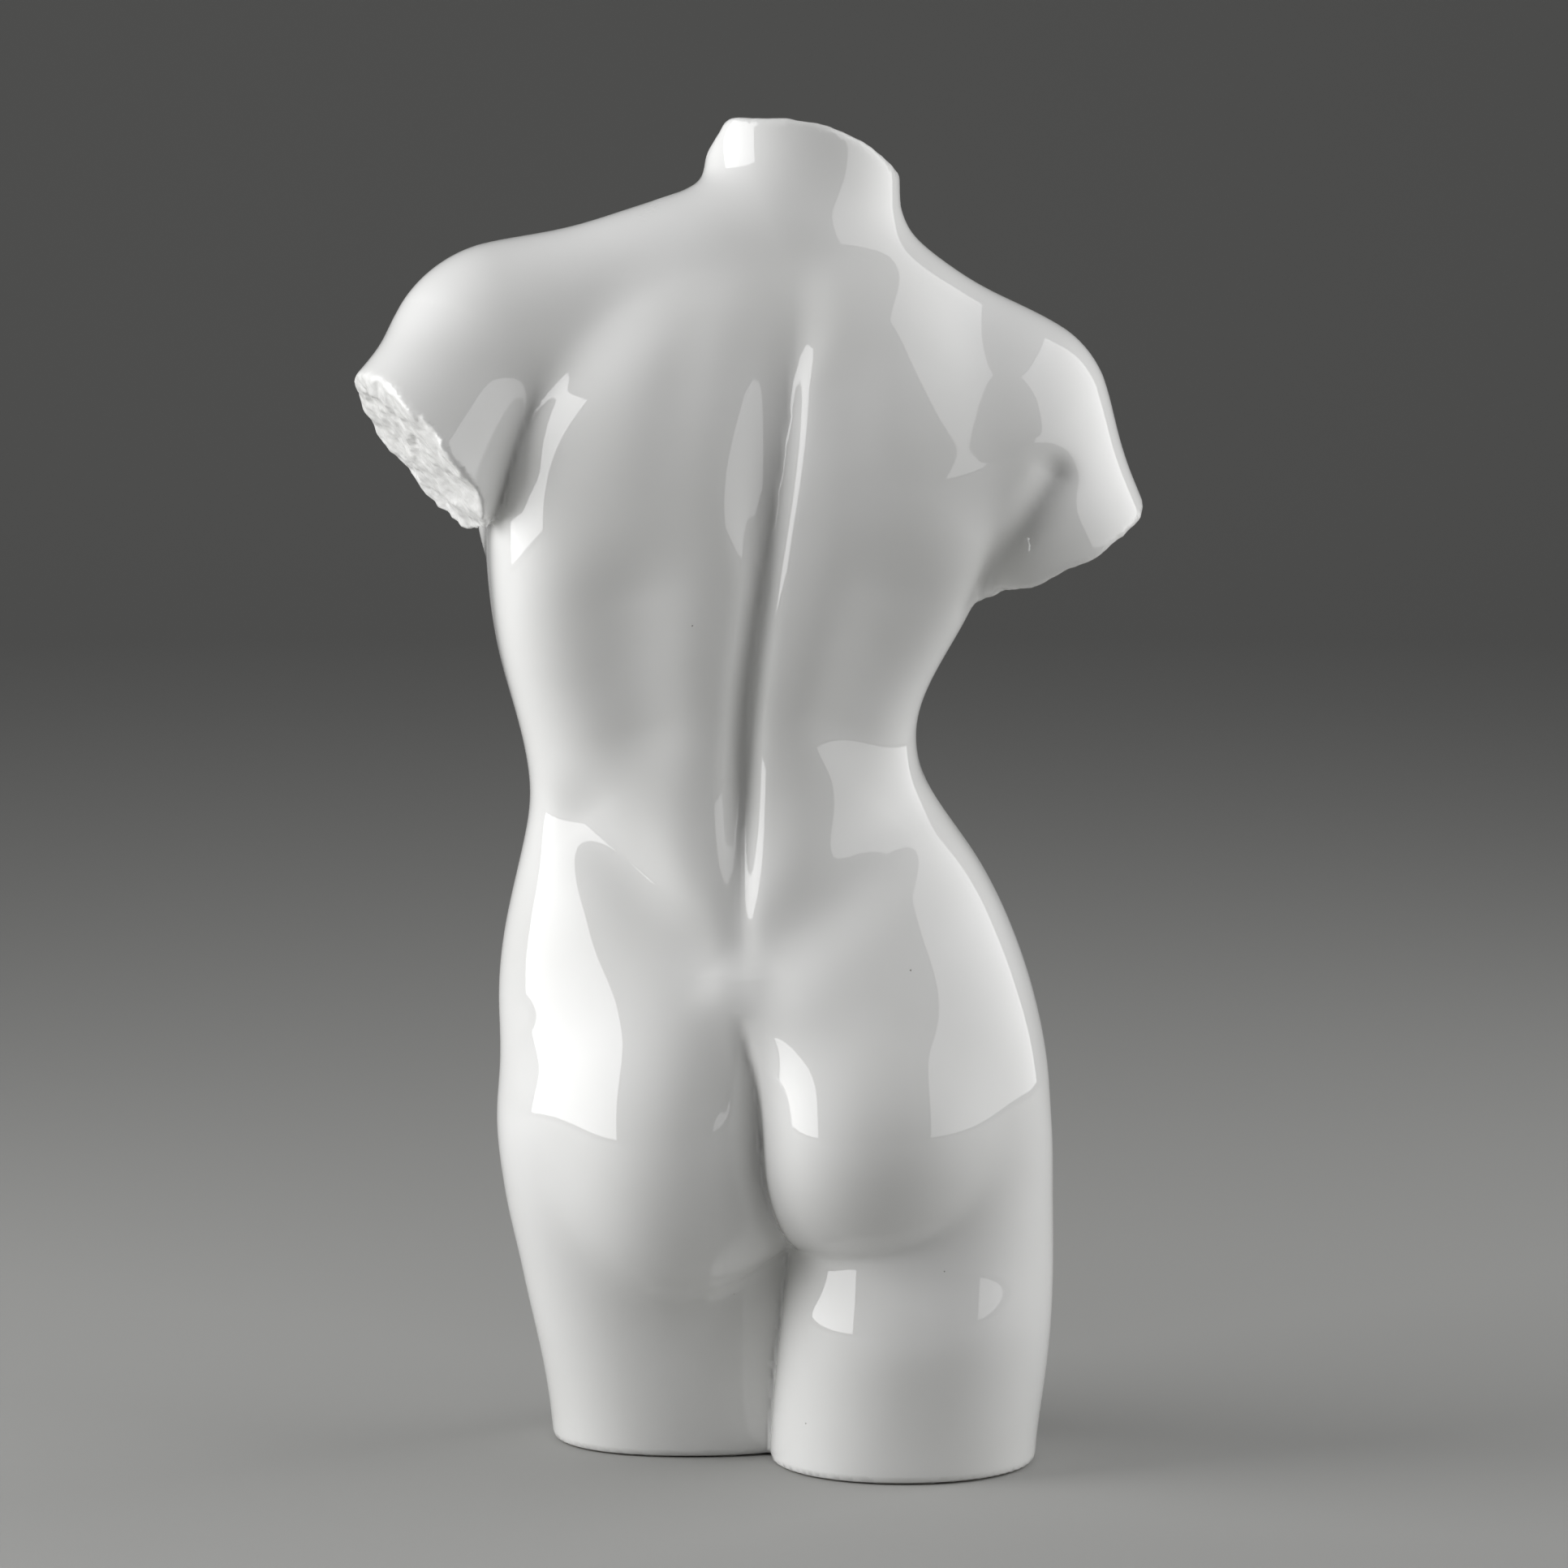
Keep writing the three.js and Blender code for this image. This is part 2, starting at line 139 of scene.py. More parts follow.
def lumps(point, size):
    x, y, z = point[0] / size, point[1] / size, point[2] / size
    coarse = np.sin(x * 1.7 + np.sin(y * 1.3 + 0.7) * 1.4)
    coarse = coarse * np.sin(z * 1.9 + np.sin(x * 1.1) * 1.2 + 1.3)
    middle = np.sin(y * 2.3 + np.sin(z * 1.7 + 2.1) * 1.3 + 0.4) * np.sin(x * 2.6 + z * 0.9 + 0.9)
    fine = np.sin(x * 4.1 + z * 3.3 + 1.1) * np.sin(y * 4.7 - z * 2.9 + 0.5)
    return 0.5 * coarse + 0.32 * middle + 0.18 * fine


# smooth random values from -1 to 1, a given size apart
def grain(point, size, seed, count=24):
    values = np.random.default_rng(seed).uniform(-1, 1, (count, count, count))
    low = [np.floor(axis / size).astype(int) for axis in point]
    part = [axis / size - start for axis, start in zip(point, low)]
    part = [t * t * (3 - 2 * t) for t in part]
    total = 0
    for corner in np.ndindex(2, 2, 2):
        weight = 1
        for t, side in zip(part, corner):
            weight = weight * (t if side else 1 - t)
        total = total + weight * values[tuple((low[a] + corner[a]) % count for a in range(3))]
    return total


# the fractured body is sharp-edged shallow scoops with chips and grit between: each has its
# size, seed and share
fractured = {
    "scoops": (14, 3, 0.5),
    "chips": (7, 5, 0.3),
    "grit": (4, 8, 0.15),
    "scoopLevel": 0.35,
    "relief": 5.1,          # how far a broken face stands in and out
    "roughShare": 0.8,      # of the relief, on top of its lumps
    "cutFiner": 0.3,        # the mesh is finer where more than this share is broken
    "near": (2, 7),         # a point this far from the face is on it, and no longer on it
    "fade": 10,             # width over which the broken look ends at its reach
}


def fracture(point):
    size, seed, part = fractured["scoops"]
    total = part * (np.abs(grain(point, size, seed)) - fractured["scoopLevel"])
    for size, seed, part in (fractured["chips"], fractured["grit"]):
        total = total + part * grain(point, size, seed)
    return total


# broken faces: a point on each, the way it faces, its share of the relief, the size of its
# lumps, the softness of its edge, and how far from the point and how low it looks broken
atNeck = {"lump": 26, "edge": 9, "reach": 130, "lowest": 930}
atArm = {"lump": 22, "reach": 84, "lowest": 540}
breaks = {
    "neckTop": {"at": (0, -18, 994), "facing": (-0.13, -0.2, 1), "relief": 0.35, **atNeck},
    "neckChip": {"at": (-51, -18, 980), "facing": (-0.5, -0.16, 0.9), "relief": 0.35, **atNeck},
    "neckCorner": {"at": (60, -18, 990), "facing": (0.75, -0.1, 0.6), "relief": 0.3, **atNeck},
    "leftArm": {"at": (280, 78, 762), "facing": (0.75, 0.3, -0.59), "relief": 0.7, "edge": 8,
                **atArm},
    "rightArm": {"at": (-202, -34, 685), "facing": (-0.45, -0.16, -0.88), "relief": 0.6,
                 "edge": 10, **atArm},
}


# outward distance past a broken face
def past(point, face, rough):
    facing = np.array(face["facing"]) / np.linalg.norm(face["facing"])
    away = sum(facing[a] * (point[a] - face["at"][a]) for a in range(3))
    uneven = lumps(point, face["lump"]) + fractured["roughShare"] * rough
    return away + uneven * face["relief"] * fractured["relief"]


def breakOff(shape, point, face, rough):
    return keep(shape, past(point, face, rough), face["edge"])


# how much of a point lies on a broken face, from 0 to 1
def brokenShare(points):
    point = points.T
    rough = fracture(point)
    most = np.zeros(len(points))
    for face in breaks.values():
        away = np.abs(past(point, face, rough))
        reach = np.linalg.norm(points - np.array(face["at"]), axis=1)
        within = 1 - ease(face["reach"], face["reach"] + fractured["fade"], reach)
        onFace = (1 - ease(*fractured["near"], away)) * within
        most = np.maximum(most, onFace * (point[2] > face["lowest"]))
    return most


# stations of the thighs at every 50 of height; the weight is on the right leg
thighs = {
    "from": -50,
    "to": 350,
    "left": {
        "x": [79, 80, 85, 92, 98, 105, 109, 109, 106],
        "y": [-102, -98, -90, -78, -60, -44, -36, -30, -28],
        "wide": [107, 108, 110, 114, 117, 118, 119, 114, 103],
        "deep": [96, 98, 102, 106, 109, 112, 114, 110, 100],
        "squareness": 2.3,
    },
    "right": {
        "x": [-80, -81, -87, -92, -95, -96, -96, -94, -92],
        "y": [-4, -4, -3, 2, -4, 0, 4, 5, 5],
        "wide": [101, 101, 103, 103, 101, 99, 98, 94, 88],
        "deep": [106, 107, 110, 115, 107, 110, 113, 112, 104],
        "squareness": 2.1,
    },
    "top": 300,
    "topSoftness": 90,
    "between": 7,           # softness of the line between them
}


def thigh(point, side):
    t = (point[2] - thighs["from"]) / (thighs["to"] - thighs["from"])
    dx, dy = point[0] - curve(side["x"], t), point[1] - curve(side["y"], t)
    section = oval(dx, dy, curve(side["wide"], t), curve(side["deep"], t), side["squareness"])
    return keep(section, point[2] - thighs["top"], thighs["topSoftness"])


# the hips are two ellipsoids, each with its centre, radii and roll, under the end of the trunk;
# the fold under the right one is crisp, and the front and the left side are soft
hips = {
    "left": ((89, 8, 240), (102, 112, 126), 0.0),
    "right": ((-59, 34, 251), (103, 124, 105), 0.22),
    "between": 6,
    "trunkEnd": 165,
    "blend": 60,            # softness of the trunk's end and of where it meets them
    "cleft": [0, 4, 12, 15, 13, 5, 0],
    "cleftFrom": 130,
    "cleftTall": 215,
    "cleftWide": 6.5,
    "hollow": [0, 2, 8, 13, 15, 14, 7, 0],
    "hollowFrom": 140,
    "hollowTall": 230,
    "hollowWide": 32,
    "behind": (0, 60),      # both are carved at the back only
    "crisp": 9,
    "softer": 33,
    "softFront": (-60, 20),
    "softLeft": (34, 110),
}


def hipCarving(fromSpine, y, z):
    cleft = curve(hips["cleft"], (z - hips["cleftFrom"]) / hips["cleftTall"])
    cleft = cleft * np.exp(-(fromSpine / hips["cleftWide"])**2)
    hollow = curve(hips["hollow"], (z - hips["hollowFrom"]) / hips["hollowTall"])
    hollow = hollow * np.exp(-(fromSpine / hips["hollowWide"])**2)
    return ease(*hips["behind"], y) * (cleft + hollow)


# a limb has its start, end and radii; an arm melts into its shoulder above and meets the back
# in a fold below
shoulders = {
    "left": ((20, 8, 916), (210, 20, 846), 54, 62),
    "right": ((-8, 4, 897), (-163, -18, 792), 54, 61),
    "between": 30,
    "toTrunk": 50,
}
arms = {
    "left": {"limb": ((234, 38, 826), (317, 102, 709), 64, 79), "fold": 10, "melt": (770, 850)},
    "right": {"limb": ((-150, -8, 768), (-232, -30, 618), 84, 66), "fold": 16, "melt": (660, 760)},
    "melting": 40,
    "leftCap": ((212, 16, 823), (92, 66, 83)),
    "capBlend": 40,
    "crease": [(-140, 640), (-162, 690), (-190, 742)],  # in the right armpit
    "creaseWide": 13,
    "creaseDepth": 9,
    "creaseBehind": (0, 50),
}


def leftArm(point, rough):
    arm = join(limb(point, *arms["left"]["limb"]), ellipsoid(point, *arms["leftCap"]),
               arms["capBlend"])
    return breakOff(arm, point, breaks["leftArm"], rough)


def rightArm(point, rough):
    return breakOff(limb(point, *arms["right"]["limb"]), point, breaks["rightArm"], rough)


neckShape = {
    "middle": (-5, -18),
    "wide": 73,
    "deep": 66,
    "waist": 940,           # it flares below this height and leans forward above it
    "flare": 0.12,
    "lean": 0.12,
    "foot": 860,
    "footSoftness": 40,
    "toTrunk": 36,
}


def neck(point, rough):
    x, y, z = point
    middleX, middleY = neckShape["middle"]
    wide = neckShape["wide"] + np.maximum(0, neckShape["waist"] - z) * neckShape["flare"]
    leaned = y - middleY + (z - neckShape["waist"]) * neckShape["lean"]
    section = oval(x - middleX, leaned, wide, neckShape["deep"], 2)
    shape = keep(section, neckShape["foot"] - z, neckShape["footSoftness"])
    for name in ("neckTop", "neckChip", "neckCorner"):
        shape = breakOff(shape, point, breaks[name], rough)
    return shape


# stations of the trunk at every 50 of height; turn is in degrees, and slope is the tilt of
# shoulders and hips
trunk = {
    "from": 100,
    "to": 950,
    "left": [205, 207, 209, 216, 228, 229, 221, 208, 199, 209, 224, 231, 233, 230, 214, 168, 112,
             66],
    "right": [188, 191, 194, 195, 193, 182, 163, 138, 97, 86, 109, 138, 155, 158, 150, 128, 92,
              64],
    "back": [-10, 48, 86, 104, 114, 112, 97, 83, 76, 85, 99, 111, 119, 122, 118, 106, 84, 55],
    "front": [-100, -112, -120, -127, -134, -140, -143, -140, -134, -128, -124, -122, -119, -114,
              -106, -97, -84, -78],
    "turn": [14, 14, 14, 14, 14, 13, 9, 4, -1, -4, -6, -6, -6, -6, -5, -4, -3, -2],
    "slope": [-0.15, -0.15, -0.15, -0.15, -0.15, -0.15, -0.14, -0.12, -0.08, -0.03, 0.02, 0.06,
              0.1, 0.13, 0.155, 0.155, 0.15, 0.15],
    "squareness": [2.1, 2.1, 2.1, 2.15, 2.25, 2.3, 2.4, 2.4, 2.45, 2.6, 3, 3.4, 3.6, 3.6, 3.2,
                   2.7, 2.3, 2],
    "spine": [12, 2, 29, 33, 38, 44, 43, 42, 40, 38, 33, 26, 19, 11, 5, 2, 0, 0],
    "top": 905,
    "topSoftness": 70,
    "breast": ((116, -88, 702), (81, 66, 78)),
    "breastBlend": 34,
}


# where a point lies in the trunk: across from the middle, backward, up along the slope, and
# across from the spine
def trunkPlace(point):
    t = (point[2] - trunk["from"]) / (trunk["to"] - trunk["from"])
    left, right = curve(trunk["left"], t), curve(trunk["right"], t)
    back, front = curve(trunk["back"], t), curve(trunk["front"], t)
    turn = np.radians(curve(trunk["turn"], t))
    middle, deep = (left - right) / 2, (back - front) / 2
    dx, dy = point[0] - middle, point[1] - (back + front) / 2
    across = dx * np.cos(turn) - dy * np.sin(turn)
    spine = (curve(trunk["spine"], t) - middle - deep * np.sin(turn)) / np.cos(turn)
    return {
        "across": across,
        "backward": dx * np.sin(turn) + dy * np.cos(turn),
        "upward": point[2] - across * curve(trunk["slope"], t),
        "fromSpine": across - spine,
        "wide": (left + right) / 2,
        "deep": deep,
        "squareness": curve(trunk["squareness"], t),
    }


# a swell has its depth, place, width, height and lean, and a hollow line its depth, points and
# width; both are on each side
backLines = {
    "behind": (-30, 40),
    "grooveFrom": 330,
    "grooveTall": 600,
    "groove": [0, 2, 10, 18, 22, 22, 21, 20, 20, 19, 16, 9, 2],
    "grooveCore": 0.72,     # the share of its depth that is between the banks
    "grooveSkirt": 30,      # width of the rest
    "leftBank": (13, 30, 640, 800),   # its width below, what it gains, and where it gains it
    "rightBank": (11, 12, 800, 880),
    "bankChange": (-4, 8),
    "ridgeTall": 560,
    "ridge": [0, 2, 5, 5, 4, 3, 3, 3, 3, 2, 1, 0],
    "ridgeAt": 40,
    "ridgeWide": 34,
    "blade": (-6, (98, 775, 56, 90, -0.2)),
    "bladeEdge": (3, (66, 800, 22, 70, 0.1)),
    "ribs": (8, [(98, 650), (88, 600), (74, 560)], 36),
    "hipBone": (10, [(22, 382), (70, 430), (118, 480)], 30),
    "spineFoot": (-7, (8, 364, 24, 26)),
}


def bankWidth(bank, z):
    least, gain, start, end = bank
    return least + gain * ease(start, end, z)


def backCarving(place, z):
    across, upward, fromSpine = place["across"], place["upward"], place["fromSpine"]
    height = z - backLines["grooveFrom"]
    grooveDepth = curve(backLines["groove"], height / backLines["grooveTall"])
    ridgeHeight = curve(backLines["ridge"], height / backLines["ridgeTall"])
    leftBank, rightBank = (bankWidth(backLines[name], z) for name in ("leftBank", "rightBank"))
    bank = rightBank + (leftBank - rightBank) * ease(*backLines["bankChange"], fromSpine)
    core = backLines["grooveCore"]
    skirt = (1 - core) * np.exp(-(fromSpine / backLines["grooveSkirt"])**2)
    depth = grooveDepth * (core * np.exp(-(fromSpine / bank)**2) + skirt)
    for side in (-1, 1):
        out = fromSpine * side
        ridge = np.exp(-((out - backLines["ridgeAt"]) / backLines["ridgeWide"])**2)
        depth = depth - ridgeHeight * ridge
        for most, shape in (backLines["blade"], backLines["bladeEdge"]):
            depth = depth + most * swell(across * side, upward, *shape)
        for most, path, wide in (backLines["ribs"], backLines["hipBone"]):
            depth = depth + most * valley(out, z, path, wide)
    most, shape = backLines["spineFoot"]
    return depth + most * swell(fromSpine, z, *shape)


frontLines = {
    "before": (-40, 30),
    "middleDepth": 5,
    "middleWide": 9,
    "middleFrom": (400, 470),
    "middleTo": (640, 700),
    "groin": (5, [(10, 235), (80, 290), (150, 395)], 16),
    "navel": (16, (0, 452, 9, 11)),
}


def frontCarving(place, z):
    across, upward = place["across"], place["upward"]
    middle = frontLines["middleDepth"] * np.exp(-(across / frontLines["middleWide"])**2)
    depth = middle * ease(*frontLines["middleFrom"], z) * (1 - ease(*frontLines["middleTo"], z))
    most, path, wide = frontLines["groin"]
    for side in (-1, 1):
        depth = depth + most * valley(across * side, upward, path, wide)
    most, shape = frontLines["navel"]
    return depth + most * swell(across, upward, *shape)


def trunkBody(point, place):
    rear = ease(*backLines["behind"], place["backward"])
    fore = 1 - ease(*frontLines["before"], place["backward"])
    section = oval(place["across"], place["backward"], place["wide"], place["deep"],
                   place["squareness"])
    body = keep(section, point[2] - trunk["top"], trunk["topSoftness"])
    body = body + rear * backCarving(place, point[2]) + fore * frontCarving(place, point[2])
    for side in (-1, 1):
        spot = (place["across"] * side, place["backward"], place["upward"])
        body = join(body, ellipsoid(spot, *trunk["breast"]), trunk["breastBlend"])
    return body


def torso(point):
    x, y, z = point
    place = trunkPlace(point)
    rough = fracture(point)

    leftShoulder, rightShoulder = (limb(point, *shoulders[side]) for side in ("left", "right"))
    across = join(leftShoulder, rightShoulder, shoulders["between"])
    body = join(trunkBody(point, place), across, shoulders["toTrunk"])
    body = join(body, neck(point, rough), neckShape["toTrunk"])
    for side, arm in (("left", leftArm), ("right", rightArm)):
        melt = arms[side]["fold"] + arms["melting"] * ease(*arms[side]["melt"], z)
        body = join(body, arm(point, rough), melt)
    crease = arms["creaseDepth"] * valley(x, z, arms["crease"], arms["creaseWide"])
    body = body + crease * ease(*arms["creaseBehind"], y)

    seat = join(ellipsoid(point, *hips["right"]), ellipsoid(point, *hips["left"]),
                hips["between"])
    body = join(keep(body, hips["trunkEnd"] - z, hips["blend"]), seat, hips["blend"])
    body = body + hipCarving(place["fromSpine"], y, z)

    legs = join(thigh(point, thighs["right"]), thigh(point, thighs["left"]), thighs["between"])
    softness = np.maximum(1 - ease(*hips["softFront"], y), ease(*hips["softLeft"], x))
    body = join(body, legs, hips["crisp"] + hips["softer"] * softness)
    return keep(body, figure["floor"] - z, figure["baseRim"])


# values on a fine lattice, worked out only in the blocks of cells near the surface
def latticeValues(low, step, counts, block=4):
    blocks = [(count + block - 1) // block + 1 for count in counts]
    axes = [low[a] + step * block * np.arange(blocks[a]) for a in range(3)]
    coarse = torso(np.meshgrid(*axes, indexing="ij"))
    near = np.full([size - 1 for size in blocks], np.inf)
    for corner in np.ndindex(2, 2, 2):
        part = tuple(slice(corner[a], blocks[a] - 1 + corner[a]) for a in range(3))
        near = np.minimum(near, np.abs(coarse[part]))
    values = coarse[:-1, :-1, :-1].repeat(block, 0).repeat(block, 1).repeat(block, 2)
    inBlock = np.array(list(np.ndindex(block, block, block)))
    blockReach = 1.9 * block * step  # rather more than a block's diagonal
    fine = np.argwhere(near < blockReach)[:, None, :] * block + inBlock[None]
    fine = fine.reshape(-1, 3)
    values[tuple(fine.T)] = torso((low + step * fine).T)
    return values[:counts[0], :counts[1], :counts[2]]


# quads between the lattice cells that the surface passes through, one point in each cell
def surfaceNet(low, high, step):
    low = np.array(low)
    counts = np.ceil((np.array(high) - low) / step).astype(int) + 1
    values = latticeValues(low, step, counts)
    inside = values < 0
    insideCorners = np.zeros(counts - 1, np.int8)
    for corner in np.ndindex(2, 2, 2):
        part = tuple(slice(corner[a], counts[a] - 1 + corner[a]) for a in range(3))
        insideCorners += inside[part]
    crossed = (insideCorners > 0) & (insideCorners < 8)
    cells = np.argwhere(crossed)
    pointOf = np.full(crossed.shape, -1)
    pointOf[crossed] = np.arange(len(cells))

    total = np.zeros((len(cells), 3))
    crossings = np.zeros(len(cells))
    for axis in range(3):
        for corner in np.ndindex(2, 2, 2):
            if corner[axis] == 0:
                start = cells + corner
                end = start.copy()
                end[:, axis] += 1
                a, b = values[tuple(start.T)], values[tuple(end.T)]
                meets = (a < 0) != (b < 0)
                place = np.array(corner, float)[None].repeat(len(cells), 0)
                place[:, axis] += np.where(meets, a / np.where(a == b, 1, a - b), 0)
                total += place * meets[:, None]
                crossings += meets
    points = low + step * (cells + total / crossings[:, None])

    quads = []
    for axis in range(3):
        u, v = (axis + 1) % 3, (axis + 2) % 3
        here = [slice(1, counts[a] - 1) for a in range(3)]
        here[axis] = slice(0, counts[axis] - 1)
        beyond = list(here)
        beyond[axis] = slice(1, counts[axis])
        a, b = inside[tuple(here)], inside[tuple(beyond)]
        for turned, edges in ((False, a & ~b), (True, ~a & b)):
            edge = np.argwhere(edges)
            edge[:, u] += 1
            edge[:, v] += 1
            around = []
            for du, dv in ((1, 1), (0, 1), (0, 0), (1, 0)):
                cell = edge.copy()
                cell[:, u] -= du
                cell[:, v] -= dv
                around.append(pointOf[tuple(cell.T)])
            around = np.stack(around, 1)
            quads.append(around[:, ::-1] if turned else around)
    return points, np.concatenate(quads)


def gradient(points, reach=0.5):
    slopes = np.zeros_like(points)
    for axis in range(3):
        offset = np.zeros(3)
        offset[axis] = reach
        ahead, behind = torso((points + offset).T), torso((points - offset).T)
        slopes[:, axis] = (ahead - behind) / (2 * reach)
    return slopes


# moves points straight onto the surface
def settle(points, rounds):
    for _ in range(rounds):
        slopes = gradient(points)
        steepness = np.maximum((slopes**2).sum(1), 0.05)
        points = points - slopes * (torso(points.T) / steepness)[:, None]
    return points


points, quads = surfaceNet(figure["low"], figure["high"], figure["cell"])
points = settle(points, 1)
report(f"surface, {len(quads)} quads")

# the broken faces are cut finer
mesh = bpy.data.meshes.new("torsoShell")
mesh.from_pydata(points.tolist(), [], quads.tolist())
broken = brokenShare(points) > fractured["cutFiner"]
work = bmesh.new()
work.from_mesh(mesh)
work.verts.ensure_lookup_table()
onBreak = [face for face in work.faces if all(broken[corner.index] for corner in face.verts)]
edges = list({edge for face in onBreak for edge in face.edges})
bmesh.ops.subdivide_edges(work, edges=edges, cuts=1, use_grid_fill=True)
bmesh.ops.triangulate(work, faces=[face for face in work.faces if len(face.verts) > 4])
work.to_mesh(mesh)
work.free()
points = np.zeros(len(mesh.vertices) * 3)
mesh.vertices.foreach_get("co", points)
points = settle(points.reshape(-1, 3), 2)
normals = gradient(points)
normals /= np.maximum(np.linalg.norm(normals, axis=1), 1e-6)[:, None]
brokenLayer = mesh.attributes.new("broken", "FLOAT", "POINT")
brokenLayer.data.foreach_set("value", brokenShare(points))
placed = (points - [0, 0, figure["floor"]]) * share
placed[:, 2] = np.maximum(placed[:, 2], 0)
mesh.vertices.foreach_set("co", placed.ravel())
mesh.shade_smooth()
mesh.normals_split_custom_set_from_vertices(normals.tolist())
mesh.update()
statue = bpy.data.objects.new("torsoSurface", mesh)
bpy.context.scene.collection.objects.link(statue)
report(f"mesh, {sum(len(face.vertices) - 2 for face in mesh.polygons)} triangles")


def linear(hexColour):
    channels = [int(hexColour[i:i + 2], 16) / 255 for i in (1, 3, 5)]
    return [c / 12.92 if c <= 0.04045 else ((c + 0.055) / 1.055)**2.4 for c in channels] + [1]


def addNode(tree, kind, settings=None, values=None, links=None):
    node = tree.nodes.new(kind)
    for name, value in (settings or {}).items():
        setattr(node, name, value)
    for name, value in (values or {}).items():
        node.inputs[name].default_value = value
    for name, source in (links or {}).items():
        tree.links.new(source, node.inputs[name])
    return node


def newMaterial(name):
    material = bpy.data.materials.new(name)
    material.use_nodes = True
    tree = material.node_tree
    tree.nodes.clear()
    shader = addNode(tree, "ShaderNodeBsdfPrincipled")
    addNode(tree, "ShaderNodeOutputMaterial", links={"Surface": shader.outputs["BSDF"]})
    return material, tree, shader


# dipped and fired white tin glaze over buff clay: a clear mirror-like skin over flat white, a
# little wavy where it flowed, with pinholes whose inner shade is painted in as dark grey, and
# bare matt clay where the figure stood in the kiln
glaze = {
    "white": "#F3F3F2",
    "thin": "#EBEBE9",      # where the glaze ran thin over an edge
    # painted shade: the dark grey inside each pinhole stands for the shade that falls in it
    "pinholeShade": "#8E8A84",
    "clay": "#DDD6CB",
    "index": 1.52,
    "gloss": 0.03,
    "brokenGloss": 0.24,
    "gritSize": 0.0009,     # metres between the grains of a broken face
    "gritHeight": 0.00012,
    "clayRoughness": 0.9,
    "cloudSize": 0.045,     # metres between the faint clouds of colour
    "cloudRange": (0.35, 0.75),
    "waveSize": 0.011,      # metres between the waves of the flowed surface
    "waveHeight": 0.00003,
    "pinholeEvery": 0.014,
    "pinholeRadius": 0.00028,
    "pinholeFloor": 0.4,    # share of the radius that is painted fully dark as shade
    "pinholeDepth": 0.0002,
    "wipedHeight": 0.0003,  # the foot is wiped clean up to here
    "wipedBare": 0.0001,    # and wholly bare up to here
}


def glazedCeramic():
    material, tree, shader = newMaterial("glazedCeramic")
    shader.inputs["IOR"].default_value = glaze["index"]
    place = addNode(tree, "ShaderNodeTexCoord").outputs["Object"]
    broken = addNode(tree, "ShaderNodeAttribute", {"attribute_name": "broken"}).outputs["Fac"]

    clouds = addNode(tree, "ShaderNodeTexNoise",
                     values={"Scale": 1 / glaze["cloudSize"], "Detail": 3.0},
                     links={"Vector": place})
    cloudFrom, cloudTo = glaze["cloudRange"]
    cloudShare = addNode(tree, "ShaderNodeMapRange",
                         values={"From Min": cloudFrom, "From Max": cloudTo},
                         links={"Value": clouds.outputs["Fac"]})
    body = addNode(tree, "ShaderNodeMix", {"data_type": "RGBA"},
                   {6: linear(glaze["white"]), 7: linear(glaze["thin"])},
                   {0: cloudShare.outputs["Result"]})

    holes = addNode(tree, "ShaderNodeTexVoronoi",
                    values={"Scale": 1 / glaze["pinholeEvery"], "Randomness": 1.0},
                    links={"Vector": place})
    radius = glaze["pinholeRadius"] / glaze["pinholeEvery"]
    hole = addNode(tree, "ShaderNodeMapRange", {"interpolation_type": "SMOOTHSTEP"},
                   {"From Min": radius * glaze["pinholeFloor"], "From Max": radius,
                    "To Min": 1.0, "To Max": 0.0},
                   {"Value": holes.outputs["Distance"]})
    # painted shade: the pinholes are coloured dark grey for the shade inside them
    shadedPinholes = addNode(tree, "ShaderNodeMix", {"data_type": "RGBA"}, {7: linear(glaze["pinholeShade"])},
                     {0: hole.outputs["Result"], 6: body.outputs[2]})

    height = addNode(tree, "ShaderNodeSeparateXYZ", links={"Vector": place}).outputs["Z"]
    wiped = addNode(tree, "ShaderNodeMapRange",
                    values={"From Min": glaze["wipedHeight"], "From Max": glaze["wipedBare"],
                            "To Min": 0.0, "To Max": 1.0},
                    links={"Value": height})
    colour = addNode(tree, "ShaderNodeMix", {"data_type": "RGBA"}, {7: linear(glaze["clay"])},
                     {0: wiped.outputs["Result"], 6: shadedPinholes.outputs[2]})
    tree.links.new(colour.outputs[2], shader.inputs["Base Color"])

    shine = addNode(tree, "ShaderNodeMapRange",
                    values={"To Min": glaze["gloss"], "To Max": glaze["brokenGloss"]},
                    links={"Value": broken})
    roughness = addNode(tree, "ShaderNodeMix", {"data_type": "FLOAT"},
                        {3: glaze["clayRoughness"]},
                        {0: wiped.outputs["Result"], 2: shine.outputs["Result"]})
    tree.links.new(roughness.outputs[0], shader.inputs["Roughness"])

    waves = addNode(tree, "ShaderNodeTexNoise",
                    values={"Scale": 1 / glaze["waveSize"], "Detail": 1.0},
                    links={"Vector": place})
    flowed = addNode(tree, "ShaderNodeBump",
                     values={"Strength": 1.0, "Distance": glaze["waveHeight"]},
                     links={"Height": waves.outputs["Fac"]})
    dented = addNode(tree, "ShaderNodeBump", {"invert": True},
                     {"Strength": 1.0, "Distance": glaze["pinholeDepth"]},
                     {"Height": hole.outputs["Result"], "Normal": flowed.outputs["Normal"]})
    grit = addNode(tree, "ShaderNodeTexNoise",
                   values={"Scale": 1 / glaze["gritSize"], "Detail": 3.0},
                   links={"Vector": place})
    crumbled = addNode(tree, "ShaderNodeBump", values={"Distance": glaze["gritHeight"]},
                       links={"Strength": broken, "Height": grit.outputs["Fac"],
                              "Normal": dented.outputs["Normal"]})
    tree.links.new(crumbled.outputs["Normal"], shader.inputs["Normal"])
    return material


statue.data.materials.append(glazedCeramic())
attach(statue, "root")
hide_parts("torso")
report("glaze")


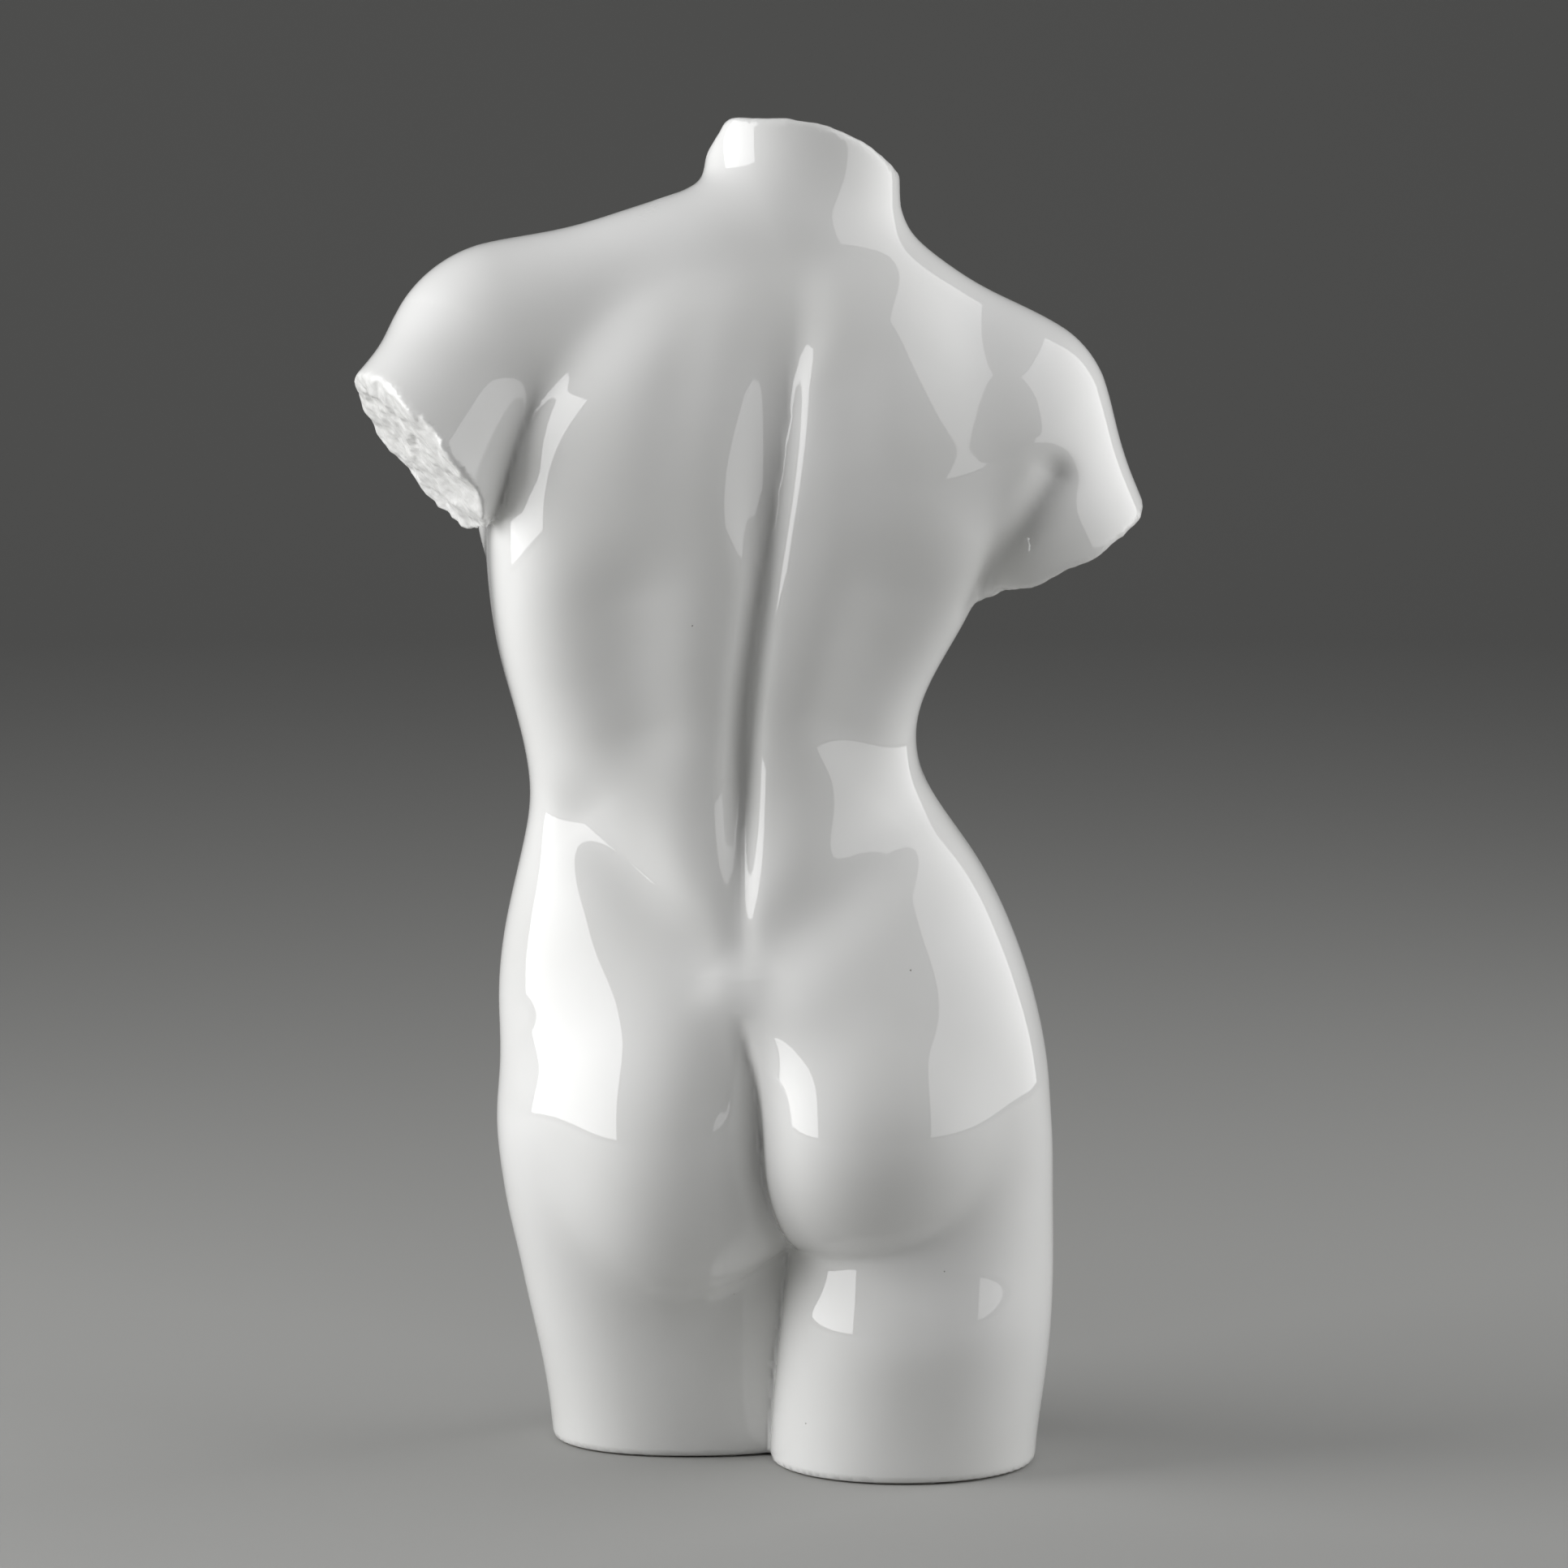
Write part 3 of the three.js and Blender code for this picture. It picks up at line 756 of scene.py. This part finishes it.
studio = {
    "floor": "#A6A6A4",
    "floorRoughness": 0.9,
    "floorGap": 0.0001,      # metres that the floor lies under the foot, so that they don't mix
    "flatFrom": 0.5,
    "flatRadius": 2.1,       # metres of flat floor before it sweeps up
    "flatRings": 6,
    "sweepRadius": 1.2,
    "sweepRings": 12,
    "segments": 96,
    "surround": "#323233",
    "lightSpread": 169,      # degrees, which keeps a hard line off the floor beside each box
    "lookAt": (0.00265, 0.0, 0.1522),
    "distance": 1.619,       # metres from the object, level
    "elevation": 6.2,        # degrees that the camera looks down
    "sensor": 36,            # millimetres
    "halfView": 0.107,       # tangent of half the angle of view
}

# the floor sweeps up all round into a low wall, so that no edge shows from any side
rings = [(radius, 0.0)
         for radius in np.linspace(studio["flatFrom"], studio["flatRadius"], studio["flatRings"])]
for turn in np.linspace(0, math.pi / 2, studio["sweepRings"] + 1)[1:]:
    rings.append((studio["flatRadius"] + studio["sweepRadius"] * math.sin(turn),
                  studio["sweepRadius"] * (1 - math.cos(turn))))
segments = studio["segments"]
corners = [(0, 0, 0)]
for radius, height in rings:
    for i in range(segments):
        angle = math.tau * i / segments
        corners.append((radius * math.cos(angle), radius * math.sin(angle), height))
faces = [(0, 1 + i, 1 + (i + 1) % segments) for i in range(segments)]
for ring in range(len(rings) - 1):
    low = 1 + ring * segments
    for i in range(segments):
        j = (i + 1) % segments
        faces.append((low + i, low + segments + i, low + segments + j, low + j))
ground = bpy.data.meshes.new("floor")
ground.from_pydata(corners, [], faces)
ground.shade_smooth()
floor = bpy.data.objects.new("floor", ground)
bpy.context.scene.collection.objects.link(floor)
floor.location.z = -studio["floorGap"]
matt, mattTree, mattShader = newMaterial("mattBoard")  # painted board, flat with no sheen
mattShader.inputs["Base Color"].default_value = linear(studio["floor"])
mattShader.inputs["Roughness"].default_value = studio["floorRoughness"]
ground.materials.append(matt)

surround = bpy.data.worlds.new("studio")
surround.use_nodes = True
background = surround.node_tree.nodes["Background"]
background.inputs["Color"].default_value = linear(studio["surround"])
bpy.context.scene.world = surround
bpy.context.scene.view_settings.view_transform = "Standard"

# softboxes: where each stands, what it faces, its width and height in metres, its power, and
# whether the glaze mirrors it
softboxes = {
    "leftWindow": {"at": (0.72, 0.13, 0.42), "facing": (0, 0, 0.42), "size": (0.66, 0.8),
                   "watts": 6.2, "mirrored": True},
    "rightWindow": {"at": (-0.8, 0.0, 0.7), "facing": (0, 0, 0.7), "size": (1.3, 1.36),
                    "watts": 9.2, "mirrored": True},
    "ceiling": {"at": (0.3, 0.7, 1.7), "facing": (0, 0, 0.2), "size": (1.2, 1.2),
                "watts": 4.6, "mirrored": False},
    "backdrop": {"at": (0, -0.7, 1.9), "facing": (0, -3.0, 0.3), "size": (1.6, 0.8),
                 "watts": 7, "mirrored": False},
}
for name, box in softboxes.items():
    light = bpy.data.lights.new(name, "AREA")
    light.shape = "RECTANGLE"
    light.size, light.size_y = box["size"]
    light.energy = box["watts"]
    light.spread = math.radians(studio["lightSpread"])
    lamp = bpy.data.objects.new(name, light)
    bpy.context.scene.collection.objects.link(lamp)
    lamp.visible_glossy = box["mirrored"]
    lamp.location = box["at"]
    aim = Vector(box["facing"]) - Vector(box["at"])
    lamp.rotation_euler = aim.to_track_quat("-Z", "Y").to_euler()

camera = bpy.data.objects.new("camera", bpy.data.cameras.new("camera"))
bpy.context.scene.collection.objects.link(camera)
tilt = math.radians(studio["elevation"])
behind = Vector((0, math.cos(tilt), math.sin(tilt)))
camera.location = Vector(studio["lookAt"]) + behind * studio["distance"] / math.cos(tilt)
camera.rotation_euler = (-behind).to_track_quat("-Z", "Y").to_euler()
camera.data.sensor_width = studio["sensor"]
camera.data.lens = studio["sensor"] / 2 / studio["halfView"]
bpy.context.scene.camera = camera
report("studio")
